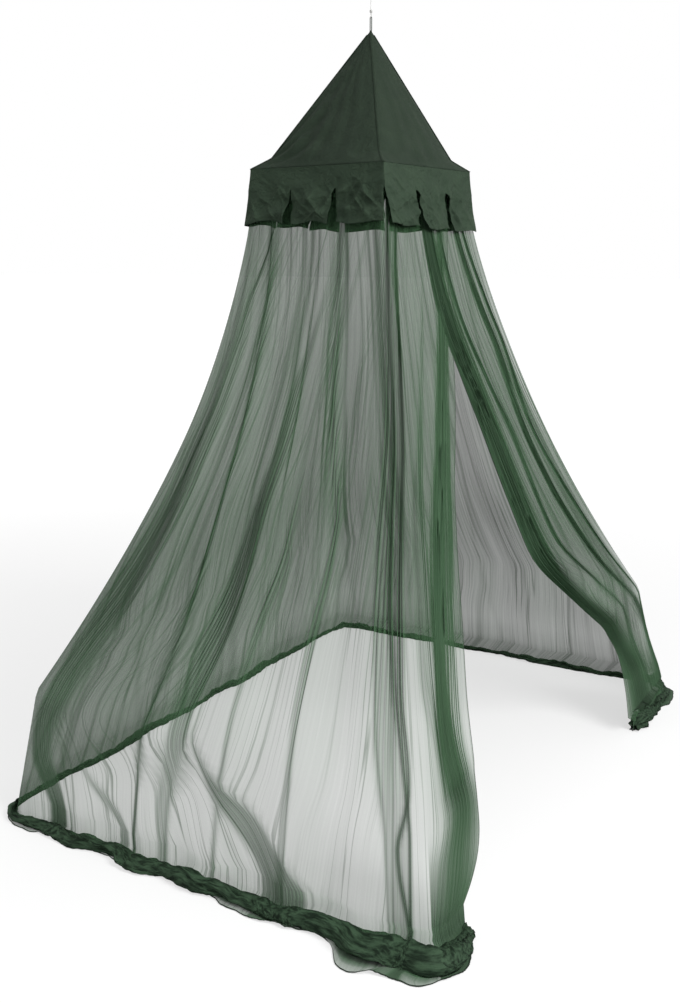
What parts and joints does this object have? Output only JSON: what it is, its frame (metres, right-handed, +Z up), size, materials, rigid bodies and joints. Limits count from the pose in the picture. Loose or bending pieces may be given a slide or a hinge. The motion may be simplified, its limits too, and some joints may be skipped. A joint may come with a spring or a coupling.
{
  "type": "mosquito net",
  "caption": "Ceiling-hung bed mosquito net: peaked square canopy on a rod frame, slit valance, gathered netting to the floor and a side door with drawn curtains.",
  "frame": {"origin": "centre of the ceiling plate's flat upper face, where the net hangs from the ceiling", "axes": "+Z up; -Y towards the foot side, which faces the viewer's left in the picture; +X towards the side with the door; the hem lies on the floor at z = -2.72 m"},
  "size_m": [1.7551, 2.4019, 2.7475],
  "materials": {
    "white_paint": "satin white paint",
    "steel": "bright zinc-plated wire",
    "plug_plastic": "moulded nylon",
    "white_cord": "thin laid cord",
    "tape": "woven dark green tape",
    "canopy_cloth": "dense dark green polyester cloth, matt",
    "fibreglass": "smooth glass-fibre tube",
    "corner_plastic": "moulded black nylon",
    "netting": "fine dark green knitted netting, see-through"
  },
  "bodies": {
    "ceiling_fitting": {"ceiling_plate": "white_paint", "ceiling_hook": "steel", "plate_screw_front": "steel", "plate_screw_back": "steel", "wall_plug_front": "plug_plastic", "wall_plug_back": "plug_plastic"},
    "net": {"hanging_cord": "white_cord", "upper_knot": "white_cord", "lower_knot": "white_cord", "top_loop": "tape", "loop_knot": "tape", "roof_panel_foot": "canopy_cloth", "roof_panel_door": "canopy_cloth", "roof_panel_head": "canopy_cloth", "roof_panel_left": "canopy_cloth", "peak_patch": "canopy_cloth", "ridge_seam_near": "tape", "ridge_seam_far": "tape", "ridge_seam_back": "tape", "ridge_seam_left": "tape", "valance_foot": "canopy_cloth", "valance_door": "canopy_cloth", "valance_head": "canopy_cloth", "valance_left": "canopy_cloth", "rod_sleeve_foot": "canopy_cloth", "rod_sleeve_door": "canopy_cloth", "rod_sleeve_head": "canopy_cloth", "rod_sleeve_left": "canopy_cloth", "spreader_rod_foot": "fibreglass", "spreader_rod_door": "fibreglass", "spreader_rod_head": "fibreglass", "spreader_rod_left": "fibreglass", "frame_corner_near": "corner_plastic", "frame_corner_far": "corner_plastic", "frame_corner_back": "corner_plastic", "frame_corner_left": "corner_plastic", "header_tape_foot": "tape", "header_tape_door": "tape", "header_tape_head": "tape", "header_tape_left": "tape", "net_foot": "netting", "net_left": "netting", "net_head": "netting", "net_near_flap": "netting", "net_far_flap": "netting", "hem_binding_foot": "tape", "hem_binding_left": "tape", "hem_binding_head": "tape", "hem_binding_near_flap": "tape", "hem_binding_far_flap": "tape"},
    "near_curtain": {"near_curtain_net": "netting", "near_edge_binding": "tape"},
    "far_curtain": {"far_curtain_net": "netting", "far_edge_binding": "tape"}
  },
  "joints": [
    {"name": "net_swivel", "type": "hinge", "parent": "ceiling_fitting", "child": "net", "pos_m": [0, 0, -0.0384], "axis": [0, 0, 1], "range_deg": [-45, 45]},
    {"name": "near_curtain_swing", "type": "hinge", "parent": "net", "child": "near_curtain", "pos_m": [0.23184, -0.02774, -0.6379], "axis": [0, 0, 1], "range_deg": [0, 18]},
    {"name": "far_curtain_swing", "type": "hinge", "parent": "net", "child": "far_curtain", "pos_m": [0.23605, 0.01678, -0.6379], "axis": [0, 0, 1], "range_deg": [-75, 0]}
  ]
}
